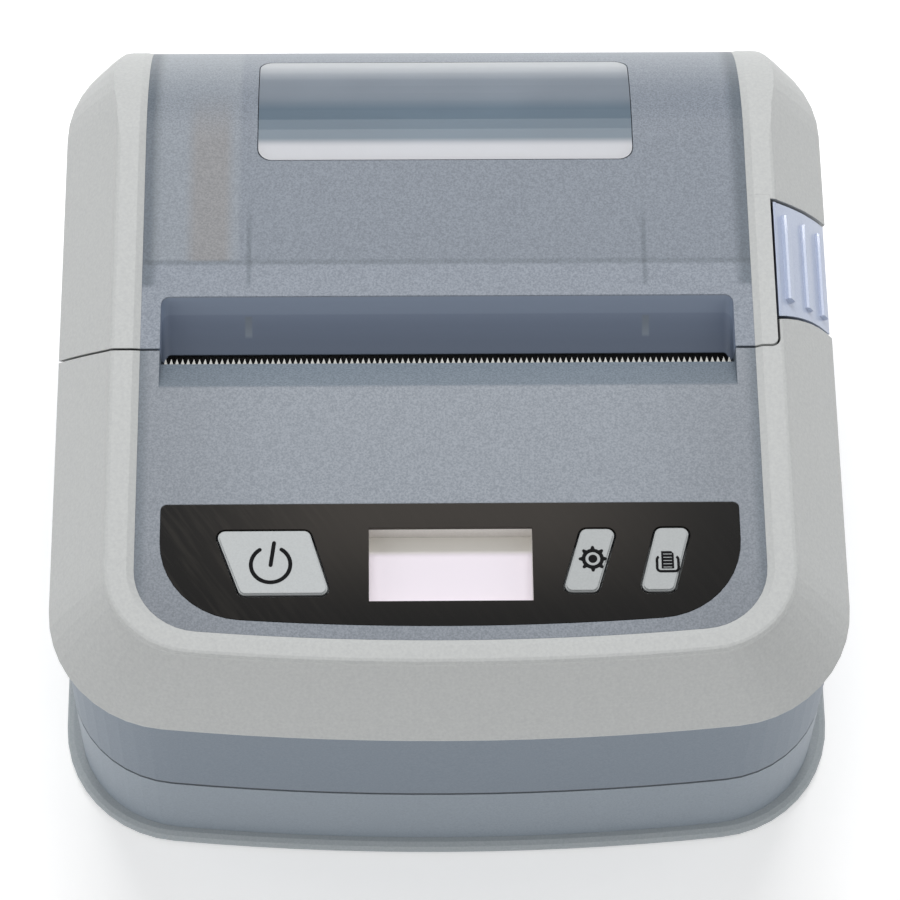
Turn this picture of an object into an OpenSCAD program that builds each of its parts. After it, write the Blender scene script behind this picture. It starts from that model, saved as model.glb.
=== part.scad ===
// Portable label printer with a hinged paper lid, in millimetres.
// The origin is on the table under the middle of the printer. X points right, Y points back, Z up.
// The front faces -Y: the control panel is in front, the paper slot behind it and the lid at the back.

/* [Housing] */
// Width over the bottom rim
body_w = 114; // [113:0.5:116]
// Depth over the bottom rim
body_d = 118.3; // [118:0.1:119]
// Height of the blue deck above the table
deck_z = 55; // [54.8:0.1:55.4]
// Height of the grey rails above the blue deck
rail_proud = 0.5; // [0.3:0.1:0.6]
// Height of the seam between the two case halves
seam_z = 19; // [18.6:0.1:19.4]
// Height of the lower edge of the grey housing
skirt_z = 40.8; // [40.6:0.1:41]
// Radius of the bowed front edge, seen from above
bow_r = 400; // [380:10:460]
// Wall of the moulded shells
wall = 2; // [1.8:0.1:2.2]
// Recess of the two case halves behind the grey housing
waist_in = 1.75; // [1.5:0.05:1.9]

/* [Deck] */
// Half width of the blue deck between the grey rails
deck_hw = 43.8; // [43.6:0.1:44]
// Half width of the paper slot
slot_hw = 41; // [40.8:0.1:41.1]
// Front edge of the paper slot
slot_y0 = -10; // [-10.2:0.1:-9.8]
// Rear edge of the paper slot
slot_y1 = 4.8; // [4.6:0.1:5]
// Slope of the bevel that leads down to the teeth
bevel_deg = 27; // [26:0.5:28]
// Length of the bevel above the teeth
bevel_l = 5.85; // [5.8:0.01:5.9]
// Pitch of the tear teeth
tooth_pitch = 0.8; // [0.78:0.01:0.82]
// Length of a tear tooth
tooth_l = 0.95; // [0.9:0.05:1]

/* [Lid] */
// Radius of the lid over the paper roll
lid_r = 28; // [27.8:0.1:28.2]
// Place of the lid seam on the deck
lid_seam_y = -3.85; // [-3.9:0.05:-3.8]
// Wall of the lid
lid_wall = 1.9; // [1.8:0.05:2]
// Half width of the clear window
window_hw = 27.5; // [26:0.5:28]
// Front edge of the clear window
window_y0 = 27.6; // [27.2:0.1:28]
// Height of the hinge pin
hinge_z = 24.6; // [24.5:0.05:24.7]

/* [Paper drive] */
// Radius of the paper compartment
bay_r = 25.1; // [25:0.05:25.1]
// Radius of the rubber platen
platen_r = 4; // [3.9:0.05:4]
// Tooth module of the drive gears
gear_m = 0.5; // [0.49:0.01:0.5]
// Teeth of the platen gear
platen_teeth = 20; // [20]
// Teeth of the idler
idler_teeth = 30; // [30]
// Teeth of the motor pinion
motor_teeth = 12; // [12]
// Tooth module of the paper guides' racks
rack_m = 0.8; // [0.8]
// Teeth of the pinion between the racks
guide_teeth = 14; // [14]

/* [Hidden] */

front_y = -body_d / 2 + 0.3;
rail_z = deck_z + rail_proud;
rail_hw = body_w / 2 - 0.45;
// Inset of the grey slope from its lower edge to its ridge, at the sides and at the front
slope_side = 8.3;
slope_front = 5.5;
slope_bulge = 0.05;
lip_t = 0.25;
blade_t = 0.5;
bevel_end = [slot_y0, deck_z] + bevel_l * [cos(bevel_deg), -sin(bevel_deg)];
edge_r = 1.2;
ridge_r = 0.8;
corner_r = 18.2;
corner_taper = 4.75;
rear_corner_r = 17;
// Inset of the housing's rear from its lower edge to its ridge
slope_rear = 3.4;
case_hw = rail_hw - waist_in;
case_y0 = front_y + 1.4;
rail_y1 = 56.5;
case_y1 = rail_y1 - 1.6;
case_corner_r = 16.5;
case_rear_r = 13.6;
floor_z0 = 0.9;
floor_z1 = 2.9;
rim_z = 2.4;
gap = 0.35;
lid_c = [body_d / 2 - lid_r, deck_z - lid_r];
window_y1 = 48.6;
// Gap round the window in its seat
window_seam = 0.12;
hinge_r = 3;
hinge_c = [lid_c[0] + lid_r - hinge_r, hinge_z];
hinge_pin_r = 1.2;
bay_c = [28.1, 28.1];
bay_wall = 1.5;
bay_hw = 44.2;
cheek_t = 1.4;
platen_c = [1.05, 44];
head_y = platen_c[0] - platen_r - 0.1;
chassis_y = -11.2;
arm_x0 = 43;
arm_x1 = 44.2;
// Direction in which the platen leaves its seat as the lid opens
open_dir = [hinge_c[1] - platen_c[1], platen_c[0] - hinge_c[0]] / norm(platen_c - hinge_c) * -1;
bush_r = 3.4;
shaft_r = 2;
idler_c = platen_c - open_dir * gear_m * (platen_teeth + idler_teeth) / 2;
motor_deg = 193;
motor_c = idler_c + gear_m * (idler_teeth + motor_teeth) / 2 * [cos(motor_deg), sin(motor_deg)];
gear_x0 = -47.6;
gear_x1 = -44.8;
guide_c = [0, 1];
guide_hw = 40.5;
guide_t = 1.5;
// Slope of the right rail, which the latch slides down
ridge_p = [rail_hw - slope_side, rail_z - ridge_r];
slope_p = [rail_hw, skirt_z + edge_r];
slope_d = (slope_p - ridge_p) / norm(slope_p - ridge_p);
slope_n = [-slope_d[1], slope_d[0]];
latch_x = 47.45;
latch_y0 = 0.75;
latch_y1 = 20.65;
// Where the strip beside the latch meets the right rail
ledge_y1 = 21.2;
battery_z = [3.2, 21.8];
cell_y = [-39.8, -20.4];

blue = [0.56, 0.6, 0.66];
pale_blue = [0.6, 0.64, 0.7];
dark_blue = [0.42, 0.47, 0.53];
grey = [0.75, 0.75, 0.73];
rim_grey = [0.52, 0.55, 0.56];
black = [0.16, 0.16, 0.15];
steel = [0.7, 0.71, 0.72];
board_green = [0.12, 0.35, 0.2];
cream = [0.85, 0.85, 0.84];

// Points of an arc round c, from angle a0 to a1, in n steps
function arc(c, r, a0, a1, n) = [for (i = [0:n]) let (a = a0 + (a1 - a0) * i / n) c + r * [cos(a), sin(a)]];

// Plan outline, anticlockwise: straight sides, a front edge bowed round a far centre, round corners
function plan(hw, y0, rf, y1, rr, n = 10) =
    let (by = y0 + bow_r,
        cy = by - sqrt(pow(bow_r - rf, 2) - pow(hw - rf, 2)),
        a = atan2(by - cy, hw - rf),
        bow = arc([0, by], bow_r, 180 + a, 360 - a, 14))
    concat(arc([rf - hw, cy], rf, 180, 180 + a, n), [for (i = [1:13]) bow[i]],
        arc([hw - rf, cy], rf, 360 - a, 360, n), arc([hw - rr, y1 - rr], rr, 0, 90, n),
        arc([rr - hw, y1 - rr], rr, 90, 180, n));

// Outline of a polygon with round corners of radius r, from its sharp corners, anticlockwise
function rounded(p, r, n = 6) = [for (i = [0:len(p) - 1])
    let (a = p[(i + len(p) - 1) % len(p)], b = p[i], c = p[(i + 1) % len(p)],
        u = (a - b) / norm(a - b), v = (c - b) / norm(c - b),
        half = acos(u * v) / 2, m = (u + v) / norm(u + v), o = b + m * r / sin(half),
        a0 = atan2(-m[1], -m[0]) - (90 - half))
    each arc(o, r, a0, a0 + 180 - 2 * half, n)];

// Outline of a strip of thickness t that follows the points p
function ribbon(p, t) = let (last = len(p) - 1,
    side = [for (i = [0:last]) let (d = p[min(i + 1, last)] - p[max(i - 1, 0)]) [-d[1], d[0]] / norm(d)])
    concat([for (i = [0:last]) p[i] + t / 2 * side[i]], [for (i = [last:-1:0]) p[i] - t / 2 * side[i]]);

// Shape skinned over rings of [height, outline], all with the same number of points
module loft(rings) {
    n = len(rings[0][1]);
    m = len(rings);
    points = [for (ring = rings) for (p = ring[1]) [p[0], p[1], ring[0]]];
    sides = [for (k = [0:m - 2]) for (i = [0:n - 1]) let (j = (i + 1) % n)
        each [[k * n + i, (k + 1) * n + i, (k + 1) * n + j], [k * n + i, (k + 1) * n + j, k * n + j]]];
    polyhedron(points, concat([[for (i = [0:n - 1]) i]], sides, [[for (i = [n - 1:-1:0]) (m - 1) * n + i]]));
}

// A plan shape raised between two heights
module up(z0, z1) {
    translate([0, 0, z0]) linear_extrude(z1 - z0) children();
}

// A side view, drawn in Y and Z, drawn out from x0 to x1
module along_x(x0, x1) {
    translate([x0, 0, 0]) rotate([90, 0, 90]) linear_extrude(x1 - x0) children();
}

// A front view, drawn in X and Z, drawn out from y0 to y1
module along_y(y0, y1) {
    translate([0, y1, 0]) rotate([90, 0, 0]) linear_extrude(y1 - y0) children();
}

// The same shape on both sides of the middle
module both_sides() {
    children();
    mirror([1, 0, 0]) children();
}

// Box between two corners
module block(a, b) {
    translate(a) cube(b - a);
}

// Rectangle between two corners
module pane(a, b) {
    translate(a) square(b - a);
}

// Round bar along X
module bar_x(c, r, x0, x1) {
    along_x(x0, x1) translate(c) circle(r, $fn = 64);
}

// Helical spring of wire radius wr wound round Z
module spring(r, wr, length, turns, steps = 10) {
    n = 6;
    last = turns * steps;
    points = [for (i = [0:last]) let (a = i * 360 / steps, z = length * i / last)
        for (k = [0:n - 1]) let (b = k * 360 / n)
            [(r + wr * cos(b)) * cos(a), (r + wr * cos(b)) * sin(a), z + wr * sin(b)]];
    sides = [for (i = [0:last - 1]) for (k = [0:n - 1]) let (j = (k + 1) % n)
        each [[i * n + k, i * n + j, (i + 1) * n + j], [i * n + k, (i + 1) * n + j, (i + 1) * n + k]]];
    polyhedron(points, concat([[for (k = [n - 1:-1:0]) k]], sides, [[for (k = [0:n - 1]) last * n + k]]));
}

pressure_deg = 25;
backlash = 0.05;

// Angle that an involute of base radius rb has turned at radius r
function involute_deg(rb, r) = r <= rb ? 0 : let (t = sqrt(r * r / (rb * rb) - 1)) t * 180 / PI - atan(t);

// Outline of an involute gear with a tooth on the X axis
function gear_outline(m, teeth) =
    let (rp = m * teeth / 2, rb = rp * cos(pressure_deg), root = rp - 1.1 * m, tip = rp + 0.85 * m,
        half = 90 / teeth - backlash / rp * 180 / PI + involute_deg(rb, rp),
        radii = [for (k = [0:4]) max(root, rb) + (tip - max(root, rb)) * k / 4],
        flank = concat([[root, -half]], [for (r = radii) [r, -half + involute_deg(rb, r)]]))
    [for (i = [0:teeth - 1]) let (a = i * 360 / teeth)
        each concat([for (f = flank) f[0] * [cos(a + f[1]), sin(a + f[1])]],
            [for (k = [len(flank) - 1:-1:0]) flank[k][0] * [cos(a - flank[k][1]), sin(a - flank[k][1])]])];

module gear(m, teeth) {
    polygon(gear_outline(m, teeth));
}

// Rack along X with its pitch line on X, its teeth up and a gap at x = 0
module rack(m, x0, x1, back) {
    pitch = m * PI;
    foot = m * PI / 4 - backlash + 1.1 * m * tan(pressure_deg);
    top = m * PI / 4 - backlash - 0.85 * m * tan(pressure_deg);
    first = ceil((x0 + foot) / pitch - 0.5);
    last = floor((x1 - foot) / pitch - 0.5);
    pane([x0, -back], [x1, -1.1 * m]);
    for (i = [first:last])
        translate([(i + 0.5) * pitch, 0])
            polygon([[-foot, -1.1 * m - 0.01], [foot, -1.1 * m - 0.01], [top, 0.85 * m], [-top, 0.85 * m]]);
}

// Grey housing as a whole, from its lower edge over the slope to the flat top; t makes it smaller
module housing(t = 0, drop = 0) {
    z1 = skirt_z + edge_r;
    z2 = rail_z - ridge_r;
    levels = concat(
        [for (a = [90:-30:0]) [skirt_z + edge_r * (1 - sin(a)), 0, edge_r * (1 - cos(a))]],
        [for (i = [1:3]) let (u = i / 4) [z1 + u * (z2 - z1), u - slope_bulge * sin(180 * u), 0]],
        [for (a = [0:30:90]) [z2 + ridge_r * sin(a), 1, ridge_r * (1 - cos(a))]]);
    loft([for (l = levels) [l[0] - drop, plan(rail_hw - l[1] * slope_side - l[2] - t,
        front_y + l[1] * slope_front + l[2] + t, corner_r - l[1] * corner_taper - l[2] - t,
        rail_y1 - l[1] * slope_rear - t, rear_corner_r - l[1] * corner_taper / 2 - t)]]);
}

// Side view of the lid: flat in front, round over the paper roll; k moves it out at the top, back at the rear
function lid_side(k, y0, back) = concat([[y0, 20], [lid_c[0] + lid_r + back, 20]],
    [for (a = [0:3.75:90]) lid_c + [(lid_r + back) * cos(a), (lid_r + k) * sin(a)]], [[y0, deck_z + k]]);

// Plan of the recess that takes the blue deck
function deck_plan(grow = 0) = plan(deck_hw + grow, front_y + 9.3 - grow, 9.5 + grow, 80, 9.5);

// Seam of the lid: on the left it leans back down the slope
seam_lean = 0.4;
function seam_y(z) = lid_seam_y + seam_lean * (deck_z - z);
// Arched front and rear edges of the latch, seen from the side
latch_gap = 0.5;
function latch_edge(y, lean, bow, z) = y + lean * (deck_z - z) + bow * (1 - pow((z - 47.8) / 7, 2));
function latch_front(z) = latch_edge(latch_y0, 0.28, 0.95, z);
function latch_rear(z) = latch_edge(latch_y1, 0.25, 0.3, z);

// Everything in front of the lid's leaning seam, moved back by k
module before_seam(k, x0, x1) {
    along_x(x0, x1) polygon([[-70, 30], [seam_y(30) + k, 30], [seam_y(60) + k, 60], [-70, 60]]);
}

// The space of the latch in the side view, smaller by k at both edges
module latch_space(k, x0, x1) {
    along_x(x0, x1) polygon(concat([for (z = [38:2:58]) [latch_rear(z) - k, z]],
        [for (z = [58:-2:38]) [latch_front(z) + k, z]]));
}

// Screw with a flat head, its head's top at the origin and its point down
module screw(r, head_r, head_h, length) {
    rotate_extrude($fn = 32)
        polygon([[0, 0], [head_r, 0], [head_r, -head_h], [r, -head_h], [r, -length], [0, -length]]);
}

screw_at = [[-48, -30], [48, -30], [-47.8, 44.5], [47.8, 44.5]];

module case_plan(t = 0) {
    polygon(plan(case_hw - t, case_y0 + t, case_corner_r - t, case_y1 - t, case_rear_r - t));
}

// Side view of the wall round the paper compartment
module cradle() {
    difference() {
        translate(bay_c) circle(bay_r + bay_wall, $fn = 128);
        translate(bay_c) circle(bay_r, $fn = 128);
    }
}

module lower_case() {
    top = seam_z - 0.2;
    color(blue) difference() {
        union() {
            difference() {
                union() {
                    up(floor_z0, rim_z) case_plan(1);
                    up(rim_z, top) case_plan();
                    up(top, seam_z + 2) case_plan(wall + 0.05);
                }
                up(floor_z1, seam_z + 3) case_plan(wall + 1.2);
                up(top - 2, seam_z + 3) intersection() {
                    case_plan(wall + 0.05);
                    pane([-45.9, 40], [45.9, 60]);
                }
            }
            intersection() {
                along_x(-bay_hw, bay_hw) intersection() {
                    cradle();
                    pane([-2, floor_z0], [60, top]);
                }
                up(floor_z0, top) case_plan(1);
            }
            both_sides() block([bay_hw, 2, floor_z1 - 0.5], [bay_hw + cheek_t, 53.5, top]);
            both_sides() block([35.5, -50.5, floor_z1 - 0.5], [37, -9, 17.5]);
            block([-9, -9, floor_z1 - 0.5], [9, -7.6, 9]);
            for (p = screw_at) translate([p[0], p[1], floor_z1 - 0.5])
                cylinder(r = 3.3, h = top - floor_z1 + 0.5, $fn = 40);
            translate([guide_c[0], guide_c[1], floor_z1 - 0.5]) cylinder(r = 3, h = 1.8, $fn = 40);
            translate([guide_c[0], guide_c[1], floor_z1 - 0.5]) cylinder(r = 1.5, h = 5.2, $fn = 40);
        }
        translate([0, bay_c[0], bay_c[1]]) rotate([0, 90, 0])
            cylinder(r = bay_r, h = 2 * bay_hw, center = true, $fn = 128);
        block([-42.6, 5, 6.9], [42.6, 17, 9.9]);
        block([-35.5, -50, -1], [35.5, -10, 5]);
        block([-37.8, -51.3, -1], [37.8, -4.7, 2.1]);
        for (p = screw_at) translate([p[0], p[1], 0]) {
            translate([0, 0, -1]) cylinder(r = 3, h = 4.4, $fn = 40);
            cylinder(r = 1.6, h = 30, $fn = 40);
        }
    }
}

module bottom_bumper() {
    r = 1;
    hw = body_w / 2;
    y0 = -body_d / 2;
    y1 = case_y1 + 1.9;
    color(rim_grey) difference() {
        loft([for (l = [[0, 0.7], [0.3, 0.25], [0.8, 0], [1.5, 0], [2.1, 0.3], [rim_z, 1]])
            [l[0], plan(hw - l[1], y0 + l[1], corner_r - l[1], y1 - l[1], case_rear_r + 2.2 - l[1])]]);
        up(-1, 5) case_plan(1);
    }
}

// Height from which the upper case half and the tray stand on the lower half
upper_z0 = seam_z + 0.2;
deck_strip_z = skirt_z - 0.3;
deck_strip_t = 1.8;
post_r = 3;
post_h = 10;
board_post_x = [-18, 36];

module upper_case() {
    hinge_x = [[14, 17.5], [33, 36.5]];
    color(blue) difference() {
        union() {
            difference() {
                union() {
                    up(upper_z0, skirt_z) case_plan();
                    up(skirt_z, skirt_z + 2.4) case_plan(1);
                }
                up(upper_z0 - 1, 60) case_plan(wall);
                block([-60, 0.9, deck_strip_z], [60, 60, 60]);
                block([-bay_hw, 45, hinge_z - hinge_r - 0.3], [bay_hw, 60, 60]);
            }
            along_x(-bay_hw, bay_hw) intersection() {
                cradle();
                pane([bay_c[0], upper_z0], [case_y1 - 1, hinge_z - hinge_r - 0.3]);
            }
            both_sides() {
                up(deck_strip_z - deck_strip_t, deck_strip_z) intersection() {
                    case_plan(1);
                    pane([bay_hw, 8], [60, 60]);
                }
                for (x = hinge_x) along_x(x[0], x[1]) {
                    translate(hinge_c) circle(hinge_r - 0.1, $fn = 48);
                    pane([hinge_c[0] - hinge_r + 0.1, upper_z0], [case_y1, hinge_z]);
                }
            }
            // Lip that stands up inside the lid's rails, open where the latch slides
            up(deck_strip_z - 0.5, skirt_z + 1.2) difference() {
                case_plan(wall + 0.2);
                case_plan(wall + 1.2);
                pane([-60, -60], [60, 0]);
                pane([-60, 46], [60, 60]);
                pane([40, -1], [60, 24]);
            }
            for (p = screw_at) {
                translate([p[0], p[1], upper_z0]) cylinder(r = post_r, h = post_h, $fn = 40);
                both_sides()
                    block([48, p[1] - 0.8, upper_z0 + 2], [case_hw - 1, p[1] + 0.8, upper_z0 + post_h]);
            }
            for (x = board_post_x) block([x - 2, case_y0 + 1.9, 22.4], [x + 2, -49, 24.2]);
        }
        both_sides() bar_x(hinge_c, hinge_pin_r, 10, 40);
        for (p = screw_at) translate([p[0], p[1], upper_z0 - 1]) cylinder(r = 1.28, h = 9.4, $fn = 40);
        // Opening for the sockets in the left wall
        block([-56, 23, 23.5], [-case_hw + wall + 0.5, 41, 32.5]);
    }
}

// Upper half of the paper compartment, with the shelf that carries the print chassis
module paper_tray() {
    color(blue) difference() {
        union() {
            along_x(-bay_hw, bay_hw) intersection() {
                cradle();
                pane([-2, upper_z0], [bay_c[0], 37]);
            }
            both_sides() difference() {
                block([bay_hw, 2, upper_z0],
                    [bay_hw + cheek_t, case_y1 - wall - 1.6, deck_strip_z - deck_strip_t]);
                for (p = screw_at) translate([p[0], p[1], upper_z0 - 1])
                    cylinder(r = post_r + 0.2, h = 12, $fn = 40);
                bar_x(idler_c, gear_m * idler_teeth / 2 + 0.9, 40, 50);
            }
            block([-22, -16, 25.8], [42.7, 2, 27]);
            for (x = board_post_x) translate([x, -8, 22.5]) cylinder(r = 2, h = 4, $fn = 32);
        }
        for (x = board_post_x) translate([x, -8, 22]) cylinder(r = 1.28, h = 8, $fn = 40);
    }
}

module front_bumper() {
    color(grey) difference() {
        intersection() {
            housing();
            union() {
                before_seam(-gap / 2, -60, 0);
                up(30, 60) difference() {
                    pane([-1, -70], [60, 10]);
                    translate([latch_x - gap - 1, lid_seam_y + gap / 2 + 1]) circle(1 + gap, $fn = 48);
                    pane([-2, lid_seam_y - gap / 2], [latch_x - gap - 1, 20]);
                    pane([-2, lid_seam_y + gap / 2 + 1], [latch_x, 20]);
                }
            }
        }
        difference() {
            housing(2, 2.2);
            block([-60, -70, skirt_z - 5], [60, -70.1, 40]);
        }
        latch_space(0, latch_x - 0.01, 60);
        block([latch_x - 1, latch_y0 + 5, 30], [60, 20, 60]);
        up(30, 60) polygon(deck_plan());
        loft([[deck_z, deck_plan(0)], [deck_z + 0.7, deck_plan(1.4)]]);
        up(30, skirt_z + 2.4) case_plan(0.95);
    }
}

// Corners of the three buttons, seen from above
power_p = [[-29.07, -42.6], [-16.69, -42.6], [-19.63, -32.8], [-32.67, -32.8]];
settings_p = [[15.41, -42.4], [20.2, -42.4], [23.05, -32.75], [18.2, -32.75]];
feed_p = [[26.1, -42.35], [30.75, -42.35], [33.35, -32.65], [28.6, -32.65]];
display_c = [0, -37.95];
display_hw = [11.33, 5.64];
bezel_t = 1.3;

module centred(c, half) {
    pane(c - half, c + half);
}

module front_panel() {
    top = [slot_y0, deck_z];
    lip_z = bevel_end[1] - lip_t;
    color(pale_blue) difference() {
        union() {
            up(deck_z - wall, deck_z) intersection() {
                polygon(deck_plan());
                difference() {
                    pane([-50, -60], [50, lid_seam_y - gap / 2]);
                    pane([-slot_hw, slot_y0], [slot_hw, 10]);
                }
            }
            along_x(-slot_hw, slot_hw)
                polygon([top - [2, 0], top, bevel_end, [bevel_end[0], lip_z], [slot_y0, lip_z],
                    top - [2, wall]]);
            both_sides() block([slot_hw, slot_y0 - 1, 50.5], [deck_hw, lid_seam_y - gap / 2, deck_z - 1]);
            for (x = [-34.5, 34.5]) for (y = [-43, -29.5])
                translate([x, y, 48.6]) cylinder(r = 1.6, h = 5, $fn = 32);
        }
        up(deck_z - 0.6, 60) overlay_plan(0.05);
        up(50, 60) {
            centred(display_c, display_hw + [bezel_t, bezel_t]);
            for (p = [power_p, settings_p, feed_p]) polygon(rounded_grown(p, 0.4));
        }
    }
}

// Rounded outline of a button grown by g on every side
function rounded_grown(p, g) = rounded([for (i = [0:3])
    let (a = p[(i + 3) % 4], b = p[i], c = p[(i + 1) % 4],
        u = (a - b) / norm(a - b), v = (c - b) / norm(c - b),
        s = u[0] * v[1] - u[1] * v[0])
    b + (u + v) * g / s], 1 + g);

module overlay_plan(grow = 0) {
    intersection() {
        polygon(plan(40.26 + grow, front_y + 11.5 - grow, 12 + grow, 20, 9));
        union() {
            pane([-50, -60], [50, -30]);
            polygon(rounded([[-40.26 - grow, -40], [40.26 + grow, -40], [40.26 + grow, -28.6 + grow],
                [-40.26 - grow, -28.6 + grow]], 0.9));
        }
    }
}

module control_overlay() {
    color(black) up(deck_z - 0.6, deck_z + 0.05) difference() {
        intersection() {
            overlay_plan();
            pane([-50, -60], [50, -28.6]);
        }
        centred(display_c, display_hw);
        for (p = [power_p, settings_p, feed_p]) polygon(rounded_grown(p, 0.3));
    }
}

module display_bezel() {
    color(cream) up(51.2, deck_z - 0.6) difference() {
        centred(display_c, display_hw + [bezel_t, bezel_t]);
        centred(display_c, display_hw);
    }
}

module display_lens() {
    color([0.9, 0.88, 0.93]) up(51.2, 51.8) centred(display_c, display_hw);
}

module display_module() {
    color(steel) up(48.6, 51.2) centred(display_c, [13.4, 7.2]);
}

module control_board() {
    color(board_green) {
        up(47, 48.6) difference() {
            polygon(rounded([[-37, -46], [37, -46], [37, -28.5], [-37, -28.5]], 2));
            for (x = [-34.5, 34.5]) translate([x, -37.5]) circle(1.4, $fn = 24);
        }
        block([-6, -31.5, 45.6], [6, -28.5, 47]);
    }
}

function middle(p) = (p[0] + p[1] + p[2] + p[3]) / 4;

module tact_switches() {
    for (p = [power_p, settings_p, feed_p]) translate(concat(middle(p), 48.6)) {
        color(steel) up(0, 2.2) square([4.5, 4.5], center = true);
        color(black) cylinder(r = 1.1, h = 2.8, $fn = 24);
    }
}

// Cap with a round edge, a flange under the panel and a stem over its switch
module button(p) {
    top = deck_z + 0.35;
    color(cream) {
        up(52.7, top - 0.25) polygon(rounded(p, 1));
        up(top - 0.25, top) polygon(rounded_grown(p, -0.2));
        up(52.0, 52.7) polygon(rounded_grown(p, 0.9));
        translate(concat(middle(p), 51.95)) cylinder(r = 1.4, h = 1, $fn = 24);
    }
}

module power_button() {
    button(power_p);
}

module settings_button() {
    button(settings_p);
}

module feed_button() {
    button(feed_p);
}

module tear_bar() {
    hw = slot_hw - 0.3;
    n = floor(2 * hw / tooth_pitch);
    pitch = 2 * hw / n;
    root_y = bevel_end[0] + 0.05;
    top = bevel_end[1] - lip_t;
    color(steel) up(top - blade_t, top) polygon(concat([[hw, slot_y0 + 0.8], [hw, root_y]],
        [for (i = [n - 1:-1:0]) let (x = -hw + (i + 0.5) * pitch)
            each [[x + 0.36 * pitch, root_y], [x, root_y + tooth_l], [x - 0.36 * pitch, root_y]]],
        [[-hw, root_y], [-hw, slot_y0 + 0.8]]));
}

module thermal_head() {
    color(cream) {
        block([-41, head_y - 1, 39], [41, head_y, 47]);
        along_x(-40.5, 40.5) intersection() {
            translate([head_y - 1, platen_c[1]]) circle(1.08, $fn = 40);
            pane([head_y - 0.5, 39], [head_y + 1, 47]);
        }
    }
}

module head_heatsink() {
    color([0.62, 0.64, 0.66]) difference() {
        block([-41, head_y - 4, 36], [41, head_y - 1, 47.5]);
        for (i = [-5:5]) block([i * 7 - 1.5, head_y - 5, 37.5], [i * 7 + 1.5, head_y - 3, 46]);
    }
}

module head_springs() {
    length = head_y - 4 - chassis_y - 0.6;
    for (x = [-28, 28]) translate([x, chassis_y + 0.3, 43]) rotate([-90, 0, 0])
        color(steel) spring(1.6, 0.3, length, 4, 8);
}

// Cross-section of a chassis arm with its open seat for the platen's bush
module arm_side() {
    difference() {
        polygon([[-20, 22], [-4, 22], [-1, 25], [1, 25.8], [1, 38.5], [9.5, 41], [9.5, 49], [-14, 49],
            [-20, 38]]);
        translate(platen_c) circle(bush_r + gap, $fn = 48);
        translate(platen_c) rotate(atan2(open_dir[1], open_dir[0]))
            pane([0, -bush_r - gap], [12, bush_r + gap]);
        translate([-8, 45]) circle(1.6, $fn = 32);
    }
}

module print_chassis() {
    color(steel) {
        difference() {
            both_sides() along_x(arm_x0, arm_x1) arm_side();
            bar_x(motor_c, 3.2, -46, -40);
        }
        difference() {
            block([-arm_x1, -12.4, 28], [arm_x1, -11.2, 49]);
            bar_x(motor_c, 8, -46, -20);
            block([-13, -14, 28.2], [13, -10, 31]);
        }
        difference() {
            block([-22, -12.4, 27], [arm_x1, -4, 28.2]);
            for (x = [-18, 36]) translate([x, -8, 20]) cylinder(r = 1.3, h = 20, $fn = 32);
        }
        bar_x(idler_c, 1.5, gear_x0 - 0.5, -arm_x0);
    }
}

module drive_motor() {
    color([0.55, 0.56, 0.58]) {
        bar_x(motor_c, 7.5, -arm_x0, -26);
        bar_x(motor_c, 3, -arm_x1, -arm_x0);
        bar_x(motor_c, 0.9, gear_x0 - 0.2, -arm_x1);
    }
    color(black) along_x(-38, -30) translate(motor_c) pane([-3, -8.4], [3, 0]);
}

function gear_turn(line_deg, teeth) = line_deg + 180 + 180 / teeth;
// Turn of each drive gear at rest, so that teeth stand in gaps
line_platen = atan2(idler_c[1] - platen_c[1], idler_c[0] - platen_c[0]);
idler_turn = gear_turn(line_platen, idler_teeth);
idler_pitch = 360 / idler_teeth;
motor_offset = (idler_turn - motor_deg) - idler_pitch * round((idler_turn - motor_deg) / idler_pitch);
motor_turn = gear_turn(motor_deg, motor_teeth) - motor_offset * idler_teeth / motor_teeth;

module motor_pinion() {
    color([0.83, 0.75, 0.5]) along_x(gear_x0, gear_x1) translate(motor_c) difference() {
        rotate(motor_turn) gear(gear_m, motor_teeth);
        circle(0.95, $fn = 32);
    }
}

module idler_gear() {
    color([0.9, 0.9, 0.88]) {
        along_x(gear_x0, gear_x1) translate(idler_c) difference() {
            rotate(idler_turn) gear(gear_m, idler_teeth);
            circle(1.55, $fn = 32);
            for (a = [0:60:300]) rotate(a) translate([4.2, 0]) circle(1, $fn = 24);
        }
        along_x(gear_x1, -arm_x1 - 0.1) translate(idler_c) difference() {
            circle(2.6, $fn = 32);
            circle(1.55, $fn = 32);
        }
    }
}

module head_cable() {
    route = [[head_y - 1.6, 35.8], [head_y - 1.6, 30.4], [-7, 29.3], [-12.4, 29.3], [-16.2, 29.2], [-18, 28.5],
        [-18, 27.65]];
    color([0.8, 0.8, 0.78]) along_x(-12, 12) polygon(ribbon(route, 0.35));
}

module main_board() {
    color(board_green) up(24.2, 25.8) difference() {
        polygon(rounded([[-22, -51], [41, -51], [41, -10.4], [-22, -10.4]], 1.5));
        for (p = [[-18, -47], [37, -47]]) translate(p) circle(1.6, $fn = 24);
    }
    color(black) {
        block([-8, -42, 25.8], [6, -28, 27]);
        block([14, -40, 25.8], [22, -32, 26.8]);
        block([-13, -19, 25.8], [13, -17, 27.4]);
    }
    color(steel) block([26, -46, 25.8], [38, -30, 28]);
}

module battery_pack() {
    color([0.2, 0.32, 0.55]) {
        for (y = cell_y) bar_x([y, (battery_z[0] + battery_z[1]) / 2], 9.3, -35.5, 35.5);
        block([-35.5, cell_y[0], battery_z[0]], [35.5, cell_y[1], battery_z[1]]);
    }
}

module battery_contacts() {
    y = cell_y[1] + 9.3;
    z = (battery_z[0] + battery_z[1]) / 2;
    color(black) block([-8, y + 0.6, 9], [8, -7.6, 16]);
    color([0.85, 0.7, 0.35]) for (x = [-5, 0, 5]) block([x - 1, y, z - 2], [x + 1, y + 0.6, z + 2]);
}

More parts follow.
